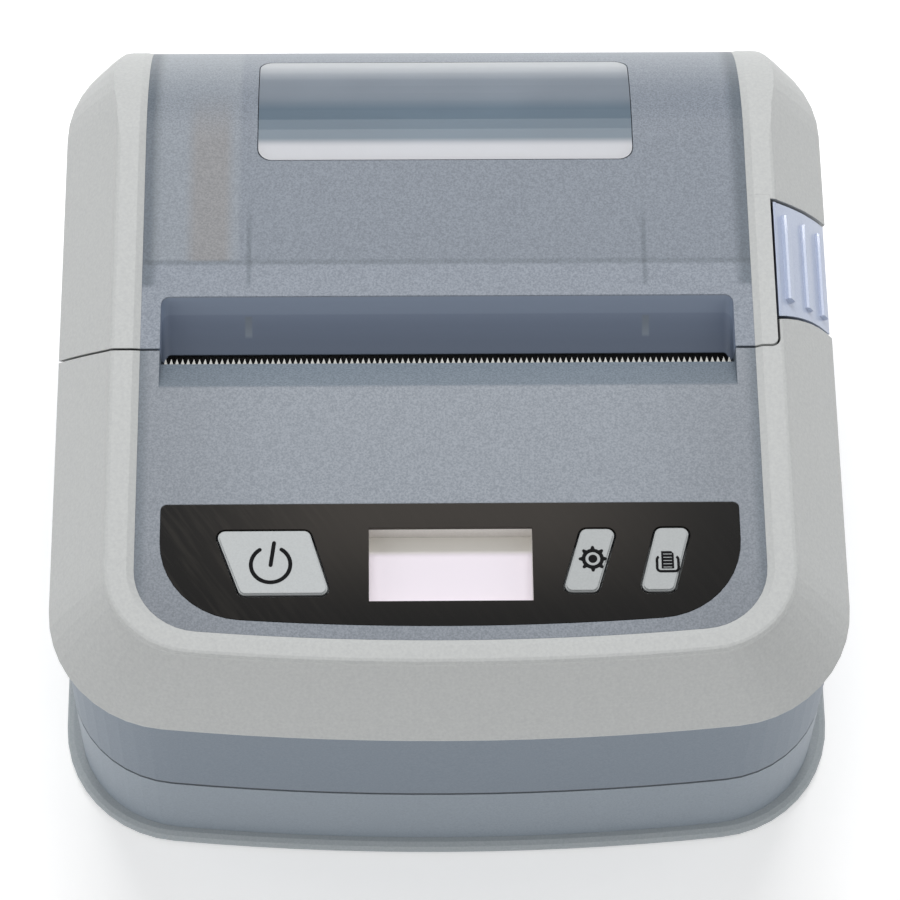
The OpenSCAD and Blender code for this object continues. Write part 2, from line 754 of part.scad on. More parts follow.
module battery_door() {
    color(blue) {
        up(floor_z0, 1.8) difference() {
            polygon(rounded([[-37.4, -50.9], [37.4, -50.9], [37.4, -9], [-37.4, -9]], 1.5));
            for (i = [-3:3]) translate([i * 3, -13.5]) pane([-0.6, -1.6], [0.6, 1.6]);
        }
        up(1.8, 2.7) pane([-34.8, -49.5], [34.8, -14.4]);
    }
}

module io_board() {
    color(board_green) block([-52.6, 22, 24.8], [-bay_hw - cheek_t, 41.2, 26.4]);
}

module usb_port() {
    color(steel) along_x(-53.4, -46.5) translate([29.5, 28]) difference() {
        polygon(rounded([[-4.5, -1.6], [4.5, -1.6], [4.5, 1.6], [-4.5, 1.6]], 1.5));
        polygon(rounded([[-4.1, -1.25], [4.1, -1.25], [4.1, 1.25], [-4.1, 1.25]], 1.2));
    }
    color(black) block([-51.5, 26.8, 27.7], [-46.5, 32.2, 28.3]);
    color(steel) block([-47, 25.2, 26.5], [-46, 33.8, 29.5]);
}

module charge_jack() {
    color(black) difference() {
        block([-53.4, 35.5, 26.4], [-46.5, 40.5, 31.4]);
        bar_x([38, 28.9], 1.75, -54, -48);
    }
    color(steel) bar_x([38, 28.9], 0.6, -52.5, -47.5);
}

port_axis = [-case_hw - 0.5, 41.3];

module port_cover() {
    x1 = -case_hw + 1.3;
    color(dark_blue) {
        along_x(-case_hw - 0.2, x1)
            polygon(rounded([[23.35, 23.85], [40.6, 23.85], [40.6, 32.15], [23.35, 32.15]], 1));
        block([-case_hw - 0.6, 40, 25.5], [-case_hw - 0.2, port_axis[1], 30.5]);
        translate([port_axis[0], port_axis[1], 25.5]) cylinder(r = 0.4, h = 5, $fn = 24);
        block([-case_hw - 0.7, 23.6, 26.5], [-case_hw - 0.1, 25, 29.5]);
    }
}

module media_sensor() {
    color(black) block([-5, 2.6, 37.05], [5, 5.6, 38.8]);
    color(board_green) block([-7, 1.3, 35.4], [7, 2.45, 38.8]);
}

module cover_switch() {
    color(black) block([arm_x1, -10, 41], [arm_x1 + 4, -3.4, 46]);
    color(steel) block([arm_x1 + 1, -6.6, 46], [arm_x1 + 3, -4.6, 47]);
}

// A point on the right slope: s along it from the ridge, k under it, as [x, z]
function on_slope(s, k) = ridge_p + s * slope_d - k * slope_n;

module latch_button() {
    color([0.72, 0.75, 0.84]) {
        difference() {
            intersection() {
                housing(0.2);
                latch_space(latch_gap, latch_x, 60);
                block([latch_x, -10, skirt_z + 1.5], [60, 60, 60]);
            }
            housing(2.4, 1.4);
            block([40, -10, 30], [54.4, 60, 44]);
            // Rebate under the rear edge, beside the lid's rail
            along_y(18.4, 30)
                polygon([on_slope(-4, 0.7), on_slope(-4, 8), on_slope(20, 8), on_slope(20, 0.7)]);
        }
        for (s = [1.7, 7.4, 12.2]) slope_rib(s, 4.2 + s * 0.2, 18.2 + s * 0.2);
        along_y(9, 13) polygon([on_slope(5, 2), on_slope(8, 2), on_slope(8, 5.2), [46.6, on_slope(8, 5.2)[1]],
            [46.6, on_slope(5, 5.2)[1] + 0.6], on_slope(5, 4)]);
    }
}

// Raised grip rib that runs along Y on the slope, at s from the ridge
module slope_rib(s, y0, y1) {
    skin = -slope_bulge * slope_side;
    top = skin - 0.35;
    along_y(y0, y1) polygon([on_slope(s - 0.75, 0.6), on_slope(s - 0.75, skin), on_slope(s - 0.55, top),
        on_slope(s + 0.55, top), on_slope(s + 0.75, skin), on_slope(s + 0.75, 0.6)]);
}

module latch_guide() {
    color(dark_blue) difference() {
        along_y(3, 20.5)
            polygon([on_slope(4.4, 3.4), on_slope(13.2, 3.4), [on_slope(13.2, 3.4)[0], skirt_z - 0.3],
                [46.5, skirt_z - 0.3], [46.5, skirt_z + 1], [49.5, skirt_z + 1.2], on_slope(11.6, 4.8),
                on_slope(4.4, 4.8)]);
        along_y(8.4, 13.6)
            polygon([on_slope(4, 3), on_slope(11.5, 3), on_slope(11.5, 5.5), on_slope(4, 5.5)]);
    }
}

module latch_spring() {
    p = on_slope(6, 5.7);
    color(steel) translate([p[0] - 1.6, 16.4, skirt_z]) spring(1, 0.25, 6.3, 6, 8);
}

// Pitch line of the rack in front of or behind the pinion
function rack_y(side) = guide_c[1] + side * rack_m * guide_teeth / 2;

// Round cheek for the end of the paper roll, its hub and the foot that stands on its rack
module paper_guide(side) {
    y = rack_y(side);
    inner_y = side < 0 ? y - 3 : y + 1.2;
    tip_y = side < 0 ? y - 3 : y - 0.7;
    color([0.33, 0.36, 0.4]) mirror([side < 0 ? 1 : 0, 0, 0]) {
        along_x(guide_hw, guide_hw + guide_t) difference() {
            union() {
                translate(bay_c) circle(15, $fn = 64);
                polygon([bay_c + [-11, -10.2], bay_c + [0, -15], bay_c + [-2, -21.5], [tip_y, 7.7],
                    [tip_y, 9.5], [13, 9.5]]);
            }
            translate(bay_c) circle(4, $fn = 40);
        }
        along_x(guide_hw - 2.5, guide_hw) translate(bay_c) difference() {
            circle(5.8, $fn = 48);
            circle(4, $fn = 40);
        }
        block([guide_hw, inner_y, 7.2], [guide_hw + guide_t, inner_y + 1.8, 8.5]);
    }
}

module guide_left() {
    paper_guide(-1);
}

module guide_right() {
    paper_guide(1);
}

module guide_rack(side) {
    color([0.33, 0.36, 0.4]) up(4.3, 7.2) translate([0, rack_y(side)]) mirror([0, side < 0 ? 0 : 1])
        rack(rack_m, side < 0 ? -guide_hw - guide_t : -5, side < 0 ? 5 : guide_hw + guide_t, 3);
}

module rack_left() {
    guide_rack(-1);
}

module rack_right() {
    guide_rack(1);
}

module guide_pinion() {
    color([0.9, 0.9, 0.88]) up(4.3, 7.2) translate(guide_c) difference() {
        rotate(90) gear(rack_m, guide_teeth);
        circle(1.56, $fn = 40);
    }
}

module hinge_pins() {
    color(steel) {
        bar_x(hinge_c, hinge_pin_r, 13.8, 36.7);
        bar_x(hinge_c, hinge_pin_r, -36.7, -6);
    }
}

module lid_spring() {
    color(steel) {
        translate([-13.6, hinge_c[0], hinge_c[1]]) rotate([0, 90, 0]) spring(1.75, 0.3, 6.4, 8, 10);
        block([-7.2, hinge_c[0] - 2.05, 21.35], [-6.6, hinge_c[0] - 1.45, hinge_z]);
    }
}

module case_screws() {
    color(steel) for (p = screw_at) translate([p[0], p[1], floor_z0 + 0.5]) mirror([0, 0, 1]) difference() {
        screw(1.25, 2.6, 2, 24);
        for (a = [0, 90]) rotate(a) block([-1.5, -0.35, -0.8], [1.5, 0.35, 1]);
    }
}

module chassis_screws() {
    color(steel) for (x = [-18, 36]) translate([x, -8, 29.4]) screw(1.25, 2.3, 1.2, 6);
}

// The scoop behind the paper slot is cut by a wheel with rounded rims
scoop_r = 11;
scoop_rim = 1.2;
scoop_wall = 1.4;
scoop_top = [slot_y1, deck_z];
nose = [-3.1, 49.2];
scoop_u = (scoop_top - nose) / norm(scoop_top - nose);
scoop_c = (scoop_top + nose) / 2
    + sqrt(scoop_r * scoop_r - pow(norm(scoop_top - nose) / 2, 2)) * [-scoop_u[1], scoop_u[0]];

module scoop_wheel() {
    translate([0, scoop_c[0], scoop_c[1]]) rotate([0, 90, 0]) rotate_extrude($fn = 128)
        polygon(concat([[0, -slot_hw]], arc([scoop_r - scoop_rim, scoop_rim - slot_hw], scoop_rim, -90, 0, 6),
            arc([scoop_r - scoop_rim, slot_hw - scoop_rim], scoop_rim, 0, 90, 6), [[0, slot_hw]]));
}

module lid_shell() {
    color(pale_blue) difference() {
        union() {
            difference() {
                along_x(-deck_hw, deck_hw) intersection() {
                    polygon(lid_side(0, lid_seam_y + gap / 2, 0));
                    pane([-5, hinge_z], [60, 60]);
                }
                scoop_wheel();
                along_x(-slot_hw, slot_hw) difference() {
                    union() {
                        polygon(lid_side(-lid_wall, -10, -lid_wall));
                        pane([-10, 20], [nose[0], 60]);
                    }
                    difference() {
                        translate(scoop_c) circle(scoop_r + scoop_wall, $fn = 96);
                        pane([-30, 20], [nose[0], 80]);
                        pane([-30, 20], [20, nose[1] - scoop_wall]);
                    }
                }
                along_x(-deck_hw - 1, deck_hw + 1) difference() {
                    polygon(lid_side(-lid_wall, -10, -lid_wall));
                    pane([-5, 49.5], [7, 60]);
                }
            }
            both_sides() bar_x(hinge_c, hinge_r, 17.9, 32.6);
            both_sides() along_x(deck_hw - 1.4, deck_hw) difference() {
                intersection() {
                    polygon(lid_side(-lid_wall + 0.1, 12.5, -lid_wall + 0.1));
                    pane([12.5, hinge_z], [60, 60]);
                }
                polygon(lid_side(-lid_wall - 5, -10, -lid_wall - 5));
            }
            both_sides() block([28, 5.4, 51.2], [29, 17, deck_z - lid_wall + 0.1]);
            block([-28, 9, 51.2], [28, 10, deck_z - lid_wall + 0.1]);
        }
        both_sides() {
            bar_x(hinge_c, hinge_pin_r + 0.06, 10, 40);
            bar_x(hinge_c, hinge_r + 0.5, 13.6, 17.9);
            bar_x(hinge_c, hinge_r + 0.5, 32.6, 36.9);
            bar_x(hinge_c, hinge_r + 0.5, 5.5, 13.6);
        }
        window_layer(1, 1, 3);
        window_layer(0, 1, lid_wall / 2);
    }
}

// Layer of the lid over the window's outline made smaller by inset, from k above its face to depth below it
module window_layer(inset, k, depth) {
    x = window_hw - inset;
    y = [window_y0 + inset, window_y1 - inset];
    intersection() {
        along_x(-x, x) difference() {
            polygon(lid_side(k, 0, k));
            polygon(lid_side(-depth, -10, -depth));
        }
        up(20, 60) polygon(rounded([[-x, y[0]], [x, y[0]], [x, y[1]], [-x, y[1]]], 2));
    }
}

module lid_window() {
    color([0.75, 0.8, 0.86]) window_layer(window_seam, 0, lid_wall / 2);
}

// Grey rail of the lid on the right: slope and ledge over the side, round at the back
module rail() {
    difference() {
        intersection() {
            housing();
            rotate([90, 0, 90]) loft([[deck_hw, lid_side(0, -30, 0)],
                [deck_hw + 2 * rail_proud, lid_side(rail_proud, -30, 0)],
                [60, lid_side(rail_proud, -30, 0)]]);
            block([deck_hw, -30, skirt_z + gap], [60, 60, 60]);
        }
        intersection() {
            housing(2, 2.2);
            along_x(40, 60) polygon(lid_side(-lid_wall, -40, -lid_wall));
        }
    }
}

module lid_rail_left() {
    color(grey) difference() {
        mirror([1, 0, 0]) rail();
        before_seam(gap / 2, -60, 0);
    }
}

module lid_rail_right() {
    color(grey) difference() {
        rail();
        block([deck_hw - 1, -40, 30], [latch_x - gap, ledge_y1, 60]);
        block([deck_hw - 1, -40, 30], [61, latch_y0 + 8, 60]);
        latch_space(0, latch_x - gap, 61);
    }
}

// Narrow strip that carries the right ledge on to the seam, beside the latch
module lid_ledge_right() {
    x = latch_x - gap;
    color(grey) intersection() {
        along_y(-40, ledge_y1) polygon([[deck_hw, deck_z], [deck_hw, deck_z - lid_wall],
            [x - 1, deck_z - lid_wall], [x, 51.5], [x, rail_z], [deck_hw + 2 * rail_proud, rail_z]]);
        up(30, 60) polygon(concat([[deck_hw, 30], [deck_hw, lid_seam_y + gap / 2]],
            arc([x - 1, lid_seam_y + gap / 2 + 1], 1, 270, 360, 8), [[x, 30]]));
    }
}

// Frame under the front of the lid: two cheeks for the bushes and a beam between them
module platen_frame() {
    x0 = 41.3;
    x1 = 42.7;
    color(dark_blue) {
        both_sides() difference() {
            along_x(x0, x1) difference() {
                union() {
                    translate(platen_c) circle(4.9, $fn = 48);
                    polygon([platen_c + [-2, 4.4], [1.5, 49.4], [7.1, 49.4], [7.1, deck_z - lid_wall],
                        [12, deck_z - lid_wall], [12, 45], platen_c + [4, -2.8]]);
                }
                translate(platen_c) circle(bush_r, $fn = 48);
            }
        }
        block([-x1, 10.4, 45], [x1, 12, 51]);
        both_sides() block([38, 8.6, 51], [x1, 12, deck_z - lid_wall]);
    }
}

module lid_catch() {
    color(steel) {
        block([arm_x1 + 0.4, 8, 46], [46.1, 14, 52.9]);
    }
}

module platen_bushes() {
    color(cream) both_sides() along_x(41.3, 44.4) translate(platen_c) difference() {
        circle(bush_r, $fn = 48);
        circle(shaft_r + 0.05, $fn = 48);
    }
}

module platen_roller() {
    color([0.2, 0.2, 0.21]) along_x(-40.6, 40.6) translate(platen_c) difference() {
        circle(platen_r, $fn = 64);
        circle(shaft_r, $fn = 64);
    }
}

module platen_shaft() {
    color(steel) bar_x(platen_c, shaft_r, -47.9, 45);
}

module platen_gear() {
    color([0.9, 0.9, 0.88]) along_x(gear_x0, gear_x1) translate(platen_c) difference() {
        rotate(line_platen) gear(gear_m, platen_teeth);
        circle(shaft_r, $fn = 64);
    }
}

lower_case();
bottom_bumper();
upper_case();
paper_tray();
front_bumper();
front_panel();
control_overlay();
display_bezel();
display_lens();
display_module();
control_board();
tact_switches();
power_button();
settings_button();
feed_button();
tear_bar();
thermal_head();
head_heatsink();
head_springs();
print_chassis();
drive_motor();
motor_pinion();
idler_gear();
head_cable();
main_board();
battery_pack();
battery_contacts();
battery_door();
io_board();
usb_port();
charge_jack();
port_cover();
media_sensor();
cover_switch();
latch_button();
latch_guide();
latch_spring();
guide_left();
guide_right();
rack_left();
rack_right();
guide_pinion();
hinge_pins();
lid_spring();
case_screws();
chassis_screws();
lid_shell();
lid_window();
lid_rail_left();
lid_rail_right();
lid_ledge_right();
platen_frame();
lid_catch();
platen_bushes();
platen_roller();
platen_shaft();
platen_gear();
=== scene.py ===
"""Looks of a portable label printer: finishes, printed marks, studio and camera.

Millimetres in the names below turn to metres through MM. X is right, Y is back, Z is up,
and the deck of the printer lies 55 mm above the table.
"""

import math

import bmesh
import bpy
from mathutils import Matrix, Vector


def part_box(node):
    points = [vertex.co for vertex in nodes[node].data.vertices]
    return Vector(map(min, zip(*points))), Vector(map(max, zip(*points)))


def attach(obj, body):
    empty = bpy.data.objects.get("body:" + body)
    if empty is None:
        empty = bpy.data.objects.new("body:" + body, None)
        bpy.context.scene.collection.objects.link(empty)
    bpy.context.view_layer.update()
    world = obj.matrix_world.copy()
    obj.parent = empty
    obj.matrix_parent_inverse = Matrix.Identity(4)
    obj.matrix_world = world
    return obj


MM = 0.001
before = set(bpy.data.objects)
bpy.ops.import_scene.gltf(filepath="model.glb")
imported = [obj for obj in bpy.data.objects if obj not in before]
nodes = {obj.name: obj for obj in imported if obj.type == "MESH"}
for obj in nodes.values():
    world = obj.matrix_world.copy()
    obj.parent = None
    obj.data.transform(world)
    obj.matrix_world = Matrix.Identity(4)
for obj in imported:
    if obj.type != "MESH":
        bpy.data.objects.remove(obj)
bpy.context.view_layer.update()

# Refraction of the common moulded plastics, and of polycarbonate sheet and film
PLASTIC_IOR = 1.49
POLYCARBONATE_IOR = 1.58
# Noise lies mostly within this distance of its middle, 0.5
NOISE_REACH = 0.18
# A Mix node's colour sockets come after those for numbers and vectors
MIX_A, MIX_B, MIX_RESULT = 6, 7, 2
# Radius to which a mould rounds an edge
EDGE_MM = 0.12
# Edges that bend by more than this stay sharp
SHARP_DEGREES = 32
# Thickness of the printing on the button caps
INK_MM = 0.04


def linear(hex_colour):
    """An sRGB colour written as six hex digits, as linear light with full alpha."""
    parts = [int(hex_colour[i : i + 2], 16) / 255 for i in (0, 2, 4)]
    return [c / 12.92 if c <= 0.04045 else ((c + 0.055) / 1.055) ** 2.4 for c in parts] + [1]


def add(tree, kind, inputs=None, **settings):
    """Adds a shader node. An input is a plain value or a socket to link from."""
    node = tree.nodes.new("ShaderNode" + kind)
    for key, value in settings.items():
        setattr(node, key, value)
    for socket, value in (inputs or {}).items():
        if isinstance(value, bpy.types.NodeSocket):
            tree.links.new(value, node.inputs[socket])
        else:
            node.inputs[socket].default_value = value
    return node


def blank(name):
    """A new material with its node tree, its shader and the place on the object."""
    material = bpy.data.materials.new(name)
    material.use_nodes = True
    tree = material.node_tree
    shader = tree.nodes["Principled BSDF"]
    place = add(tree, "TexCoord").outputs["Object"]
    return material, tree, shader, place


def settle(shader, values):
    """Sets constants on the shader's own sockets."""
    for socket, value in values.items():
        shader.inputs[socket].default_value = value


def set_colour(tree, shader, dark, light, factor):
    """The shader's colour goes between two written colours as factor goes from 0 to 1."""
    mix = add(tree, "Mix", {"Factor": factor, MIX_A: linear(dark), MIX_B: linear(light)},
              data_type="RGBA")
    tree.links.new(mix.outputs[MIX_RESULT], shader.inputs["Base Color"])


def grain(tree, shader, place, size_mm, depth_mm):
    """Spark-eroded mould grain of that size, over edges that the mould has rounded."""
    edge = add(tree, "Bevel", {"Radius": EDGE_MM * MM}, samples=4)
    pits = add(tree, "TexNoise", {"Vector": place, "Scale": 1 / (size_mm * MM), "Detail": 3,
                                  "Roughness": 0.6})
    bump = add(tree, "Bump", {"Strength": 1, "Distance": depth_mm * MM,
                              "Height": pits.outputs["Fac"], "Normal": edge.outputs["Normal"]})
    tree.links.new(bump.outputs["Normal"], shader.inputs["Normal"])
    return pits.outputs["Fac"]


def moulded(name, dark, light, roughness, size_mm=0.3, depth_mm=0.008, contrast=1.0, coat=0.0,
            specular=0.5):
    """Opaque moulded plastic: its grain shows as relief and as fine darker and lighter specks.

    Real grain is finer than a pixel of the render, 0.14 mm, so it is drawn coarser where it shows.
    """
    material, tree, shader, place = blank(name)
    reach = NOISE_REACH / contrast
    specks = add(tree, "MapRange", {"Value": grain(tree, shader, place, size_mm, depth_mm),
                                    "From Min": 0.5 - reach, "From Max": 0.5 + reach})
    set_colour(tree, shader, dark, light, specks.outputs[0])
    settle(shader, {"Roughness": roughness, "IOR": PLASTIC_IOR, "Coat Weight": coat,
                    "Specular IOR Level": specular})
    return material


def metal(name, dark, light, roughness):
    """Worked metal: fine lines that run back and up, as it was brushed, rolled or turned.

    A line is narrower than a pixel, so from afar the lines only soften the shine.
    """
    material, tree, shader, place = blank(name)
    line_mm, drawn_out = 0.08, 30
    stretched = add(tree, "Mapping", {"Vector": place,
                                      "Scale": (1, 1 / drawn_out, 1 / drawn_out)})
    lines = add(tree, "TexNoise", {"Vector": stretched.outputs[0], "Scale": 1 / (line_mm * MM),
                                   "Detail": 2})
    set_colour(tree, shader, dark, light, lines.outputs["Fac"])
    settle(shader, {"Metallic": 1, "Roughness": roughness})
    bump = add(tree, "Bump", {"Distance": 0.002 * MM, "Height": lines.outputs["Fac"]})
    tree.links.new(bump.outputs["Normal"], shader.inputs["Normal"])
    return material


def along(tree, axis, start_mm, end_mm, both_sides=False):
    """Goes softly from 0 to 1 between two places along an axis of the object."""
    place = add(tree, "TexCoord").outputs["Object"]
    value = add(tree, "SeparateXYZ", {"Vector": place}).outputs[axis]
    if both_sides:
        value = add(tree, "Math", {0: value}, operation="ABSOLUTE").outputs[0]
    return add(tree, "MapRange", {"Value": value, "From Min": start_mm * MM,
                                  "From Max": end_mm * MM},
               interpolation_type="SMOOTHSTEP").outputs[0]


def tint(material, hex_colour, *spans, blend="MULTIPLY"):
    """Mixes a colour into a finished material where all the spans are 1, for painted light and
    shade and for colours of its own.

    A span is the axis, its two places in mm and, where the left side mirrors the right, True.
    """
    tree = material.node_tree
    mask = along(tree, *spans[0])
    for span in spans[1:]:
        mask = add(tree, "Math", {0: mask, 1: along(tree, *span)}, operation="MULTIPLY").outputs[0]
    colour = tree.nodes["Principled BSDF"].inputs["Base Color"]
    mix = add(tree, "Mix", {"Factor": mask, MIX_A: colour.links[0].from_socket,
                            MIX_B: linear(hex_colour)}, data_type="RGBA", blend_type=blend)
    tree.links.new(mix.outputs[MIX_RESULT], colour)


# The numbers are the roughness, and the width and depth of the grain in mm.
# Light grey ABS, moulded with fine grain: a soft, even, dull shell
grey_abs = moulded("abs_grey_moulded", "babcbc", "c4c6c5", 0.55, 0.45, 0.008)
# Blue-grey ABS under paint with fine metal flake: tiny bright and dark specks
flake_paint = moulded("abs_flake_painted", "737b85", "9198a2", 0.46, 0.26, 0.006, contrast=1.3)
# Smoked polycarbonate with flake, moulded: the same blue, a little deeper
smoke_pc = moulded("polycarbonate_smoke_moulded", "6f7783", "8e96a2", 0.5, 0.26, 0.006,
                   contrast=1.3)
# Blue-grey ABS, moulded, of the upper case half and the tray: even and dull
case_abs = moulded("abs_blue_moulded", "727d89", "7c8793", 0.5, 0.3, 0.01)
# The same, paler and greyer, as the lower case has it round the bottom
skirt_abs = moulded("abs_skirt_moulded", "88929c", "949ea8", 0.5, 0.3, 0.01)
# Thermoplastic rubber, moulded, of the foot rim and the port flap: pale, soft and dull
rim_tpe = moulded("tpe_rim_moulded", "a4acb0", "b0b6ba", 0.6, 0.3, 0.012)
# Silicone-painted ABS of the button caps: pale, dull and smooth
button_abs = moulded("abs_button_painted", "b3b7b8", "bcc0c1", 0.5, 0.25, 0.003)
# Lilac polycarbonate, moulded and polished, of the release latch: a clear, bright gloss
latch_pc = moulded("polycarbonate_lilac_moulded", "afbad2", "bbc5da", 0.3, 0.3, 0.002, coat=0.3)
# Dark blue nylon, moulded, of the parts in the paper bay: fine grain in the shade
inner_nylon = moulded("nylon_dark_moulded", "3e4650", "485059", 0.5, 0.3, 0.01)
# White acetal, moulded, of gears and bushes: milky and smooth, as the flat cable is too
acetal = moulded("acetal_white_moulded", "dcdcd6", "e6e6e1", 0.35, 0.3, 0.002)
# Black nitrile rubber, ground, of the platen: dull, with a fine tooth
platen_rubber = moulded("nitrile_rubber_ground", "2c2d2f", "37383a", 0.7, 0.1, 0.01)
# Black nylon, moulded, of sockets and switches: deep black with a faint sheen
black_nylon = moulded("nylon_black_moulded", "161616", "1e1e1e", 0.45, 0.2, 0.005)
# Solder mask, printed over copper: dark green and glossy
solder_mask = moulded("solder_mask_printed", "0f4a28", "16603a", 0.3, 0.4, 0.004)
# PVC film, shrunk round the cells: tight, blue and glossy
shrink_film = moulded("pvc_film_shrunk", "1d3f86", "234a99", 0.25, 0.5, 0.004)
# Alumina of the print head, glazed: cream white and mirror smooth
glazed_alumina = moulded("alumina_glazed", "d6d3c6", "dedbcf", 0.15, 0.3, 0.001)
# Cream polycarbonate, moulded, of the display's frame: pale and smooth
cream_pc = moulded("polycarbonate_cream_moulded", "dedbd6", "e6e3de", 0.4, 0.3, 0.002)
# Black ink, printed, of the marks on the buttons: flat black with hardly any shine
mark_ink = moulded("ink_black_printed", "08090a", "101113", 0.7, 0.2, 0.001, specular=0.1)

# Stainless steel of the tear bar, etched: a soft grey shine
bright_steel = metal("stainless_steel_etched", "757573", "989895", 0.55)
# Steel of the chassis, sockets, springs, pins and screws, zinc plated: cool and bright
zinc_steel = metal("steel_zinc_plated", "a9abad", "bfc1c3", 0.35)
# Aluminium of the head's heat sink, extruded: pale, with drawn lines
extruded_aluminium = metal("aluminium_extruded", "b5b7b9", "c9cbcd", 0.4)
# Brass of the motor's pinion and the contacts, turned: warm yellow and bright
turned_brass = metal("brass_turned", "b8964a", "cfae62", 0.3)


def overlay_film():
    """Polycarbonate film, back-printed black: glossy, with faint slanting wipe marks, painted
    lighter as sheen.
    """
    material, tree, shader, place = blank("polycarbonate_film_printed")
    wipe_mm, drawn_out = 0.7, 12
    slant = add(tree, "Mapping", {"Vector": place, "Rotation": (0, 0, math.radians(35)),
                                  "Scale": (1, drawn_out, 1)}, vector_type="TEXTURE")
    wipes = add(tree, "TexNoise", {"Vector": slant.outputs[0], "Scale": 1 / (wipe_mm * MM),
                                   "Detail": 3})
    marks = add(tree, "MapRange", {"Value": wipes.outputs["Fac"], "From Min": 0.45,
                                   "From Max": 0.7})
    split = add(tree, "SeparateXYZ", {"Vector": place})
    # Painted sheen: the wipe marks are painted lighter towards the left, where they catch the
    # light
    sheen_leftwards = add(tree, "MapRange", {"Value": split.outputs["X"], "From Min": -14 * MM,
                                       "From Max": -36 * MM, "To Min": 0.15, "To Max": 1})
    both = add(tree, "Math", {0: marks.outputs[0], 1: sheen_leftwards.outputs[0]}, operation="MULTIPLY")
    set_colour(tree, shader, "0a0908", "211f1c", both.outputs[0])
    edge = add(tree, "Bevel", {"Radius": 0.1 * MM}, samples=4)
    tree.links.new(edge.outputs["Normal"], shader.inputs["Normal"])
    settle(shader, {"Roughness": 0.15, "IOR": POLYCARBONATE_IOR, "Specular IOR Level": 0.13})
    return material


def clear_window():
    """Clear polycarbonate, polished: a smoky pane that lets a little light through."""
    material, tree, shader, place = blank("polycarbonate_clear_polished")
    wave_mm = 9
    waves = add(tree, "TexNoise", {"Vector": place, "Scale": 1 / (wave_mm * MM), "Detail": 1})
    bump = add(tree, "Bump", {"Distance": 0.02 * MM, "Height": waves.outputs["Fac"]})
    tree.links.new(bump.outputs["Normal"], shader.inputs["Normal"])
    set_colour(tree, shader, "8d97a3", "97a1ad", waves.outputs["Fac"])
    settle(shader, {"Roughness": 0.3, "IOR": POLYCARBONATE_IOR, "Specular IOR Level": 0.03,
                    "Transmission Weight": 0.35})
    return material


def display_face():
    """Unlit display behind its clear lens: pale lilac, with painted light where its frame shades
    it.
    """
    material, tree, shader, place = blank("glass_display_unlit")
    speck_mm, speck_strength = 0.4, 0.04
    # Painted light under the rear of the frame, which lifts the frame's shadow on the display
    rear = along(tree, "Y", -35.2, -34.2)
    specks = add(tree, "TexNoise", {"Vector": place, "Scale": 1 / (speck_mm * MM)})
    shade = add(tree, "Math", {0: specks.outputs["Fac"], 1: speck_strength, 2: rear},
                operation="MULTIPLY_ADD")
    set_colour(tree, shader, "f2eaf4", "fcf9f2", shade.outputs[0])
    settle(shader, {"Roughness": 0.2, "IOR": 1.5})
    return material


film_black = overlay_film()
window_clear = clear_window()
display_lilac = display_face()

# Painted shade: the caps are a little darker towards the right
tint(button_abs, "eeeeee", ("X", 0, 18))
# The lower lip of the upper case half is chamfered, and painted shadow darkens the seam gap under
# it
tint(case_abs, "4a5058", ("Z", 19.5, 19.35))

# Painted shade: the deck is darker towards its sides and its front, and painted shadow runs
# along its two seams beside the rails
tint(flake_paint, "eeeeee", ("X", 22, 42, True))
tint(flake_paint, "eaeaea", ("Y", -30, -52))
tint(flake_paint, "c8d0d4", ("X", 41.8, 43.6, True))
# Painted shade on the bevel over the teeth, which tilts back, away from the light
tint(flake_paint, "e3ebee", ("Z", 54.95, 54.75), ("Y", -10.2, -9.9))

# Painted shade and light on the smoked lid, partly for what shows through it: painted shade
# over the dim bay and along the side walls, and painted light towards the rear
deck = ("Y", 6, 7)
tint(smoke_pc, "e9ebec", deck, ("Y", 9.5, 11.5))
tint(smoke_pc, "b0babf", deck, ("X", 41, 43, True))
tint(smoke_pc, "5c5c5a", ("Y", 36, 50), blend="ADD")
# A light liner on the left, with a warm label patch in it
liner = [deck, ("X", -43, -42), ("X", -29.5, -30.5), ("Y", 10.4, 11)]
tint(smoke_pc, "363632", *liner, blend="ADD")
tint(smoke_pc, "fcf0e6", *liner, ("X", -38.2, -36), ("X", -30.4, -32.4), ("Y", 42, 30))
# Two ribs that run back under the lid, and one across its front
for rib in (-28.5, 28.5):
    tint(smoke_pc, "d3d8da", ("X", rib - 0.6, rib - 0.1), ("X", rib + 0.6, rib + 0.1), deck,
         ("Y", 23, 14))
tint(smoke_pc, "d8dcdd", ("Y", 9.8, 10.3), ("Y", 11.2, 10.6), ("X", 44, 43.5, True))
# The scoop is in the shade of the slot: smoked plastic without paint, deeper downwards
scoop = [("Z", 54.95, 54.75), ("Y", 5.2, 4.9), ("X", 41.3, 41, True)]
tint(smoke_pc, "8996ab", *scoop, blend="MIX")
tint(smoke_pc, "b0b3b6", *scoop, ("Z", 53.2, 49.5))
tint(smoke_pc, "ecedf0", *scoop, ("Z", 52.7, 52.5))
# Ends of the two ribs, which show through the smoked plastic of the scoop
tint(smoke_pc, "79838f", ("X", 27.9, 28.2, True), ("X", 29.2, 28.9, True), ("Z", 52.5, 52.3),
     ("Z", 50.4, 50.7), ("Y", 5, 4.8), blend="MIX")

# Painted sheen: the black film is a little paler in the middle, towards the rear
tint(film_black, "35312d", ("Y", -48, -30), ("X", 44, 10, True), blend="ADD")
# Painted on the pane: painted shade in its middle, for the shaded side of the paper roll
# behind it, painted light as a pale strip at the rear, and a painted reflection at the front
tint(window_clear, "bacfda", ("Y", 30.4, 31.6), ("Y", 40, 36))
tint(window_clear, "e2e6ea", ("Y", 42.5, 48.5), blend="MIX")
tint(window_clear, "dddfe5", ("Y", 31.5, 29.9), blend="MIX")

